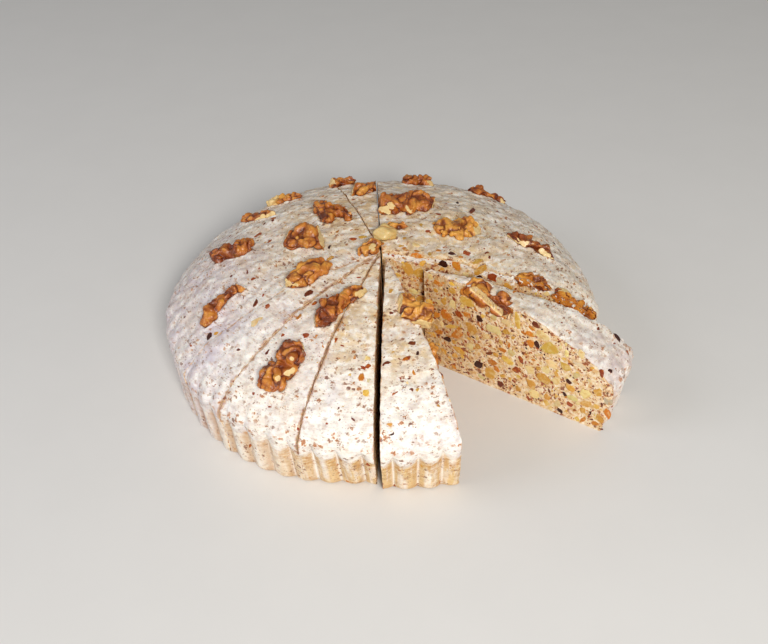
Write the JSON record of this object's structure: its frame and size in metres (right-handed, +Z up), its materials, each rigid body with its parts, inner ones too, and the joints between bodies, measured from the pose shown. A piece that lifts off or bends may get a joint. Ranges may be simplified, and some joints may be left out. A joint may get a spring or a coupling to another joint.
{
  "type": "sliced domed walnut nougat cake",
  "caption": "Round nougat cake with a domed white top, fluted wall and walnut pieces, partly cut into wedge slices, with one slice drawn out.",
  "frame": {"origin": "middle of the whole's box in plan, on the surface that the cake stands on", "axes": "+Z up out of the dome; -Y towards the front slice that is eased outwards; +X towards the slice that is drawn out"},
  "size_m": [0.2532, 0.243, 0.0753],
  "materials": {
    "nougat": "matte, soft and a little waxy; off-white outside with brown specks, warm cream with chopped nuts where cut",
    "walnut": "satin, wrinkled amber-brown walnut skin",
    "pale_nut": "satin, smooth pale yellow nut flesh",
    "dark_nut": "satin, dark brown walnut skin"
  },
  "bodies": {
    "root": {"blanched_nut_centre": "pale_nut", "cake_block_left": "nougat", "cake_block_right": "nougat", "cake_slice_back": "nougat", "cake_slice_by_gap": "nougat", "cake_slice_front": "nougat", "cake_slice_front_left": "nougat", "cake_slice_left": "nougat", "cake_slice_right": "nougat", "walnut_back_cut": "walnut", "walnut_back_large": "walnut", "walnut_back_right_rim": "walnut", "walnut_back_rim": "walnut", "walnut_bit_centre": "walnut", "walnut_broken_back": "pale_nut", "walnut_centre": "walnut", "walnut_dark_right": "dark_nut", "walnut_far_left": "walnut", "walnut_front_left": "walnut", "walnut_front_middle": "walnut", "walnut_front_slice": "walnut", "walnut_golden": "walnut", "walnut_in_front_face": "walnut", "walnut_inner_back_left": "walnut", "walnut_inner_left": "walnut", "walnut_on_right_cut": "walnut", "walnut_on_right_edge": "walnut", "walnut_outer_left": "walnut", "walnut_right_rim": "walnut", "walnut_right_slice": "walnut", "walnut_sunk_back_left": "walnut", "walnut_vee": "walnut"}
  },
  "joints": []
}
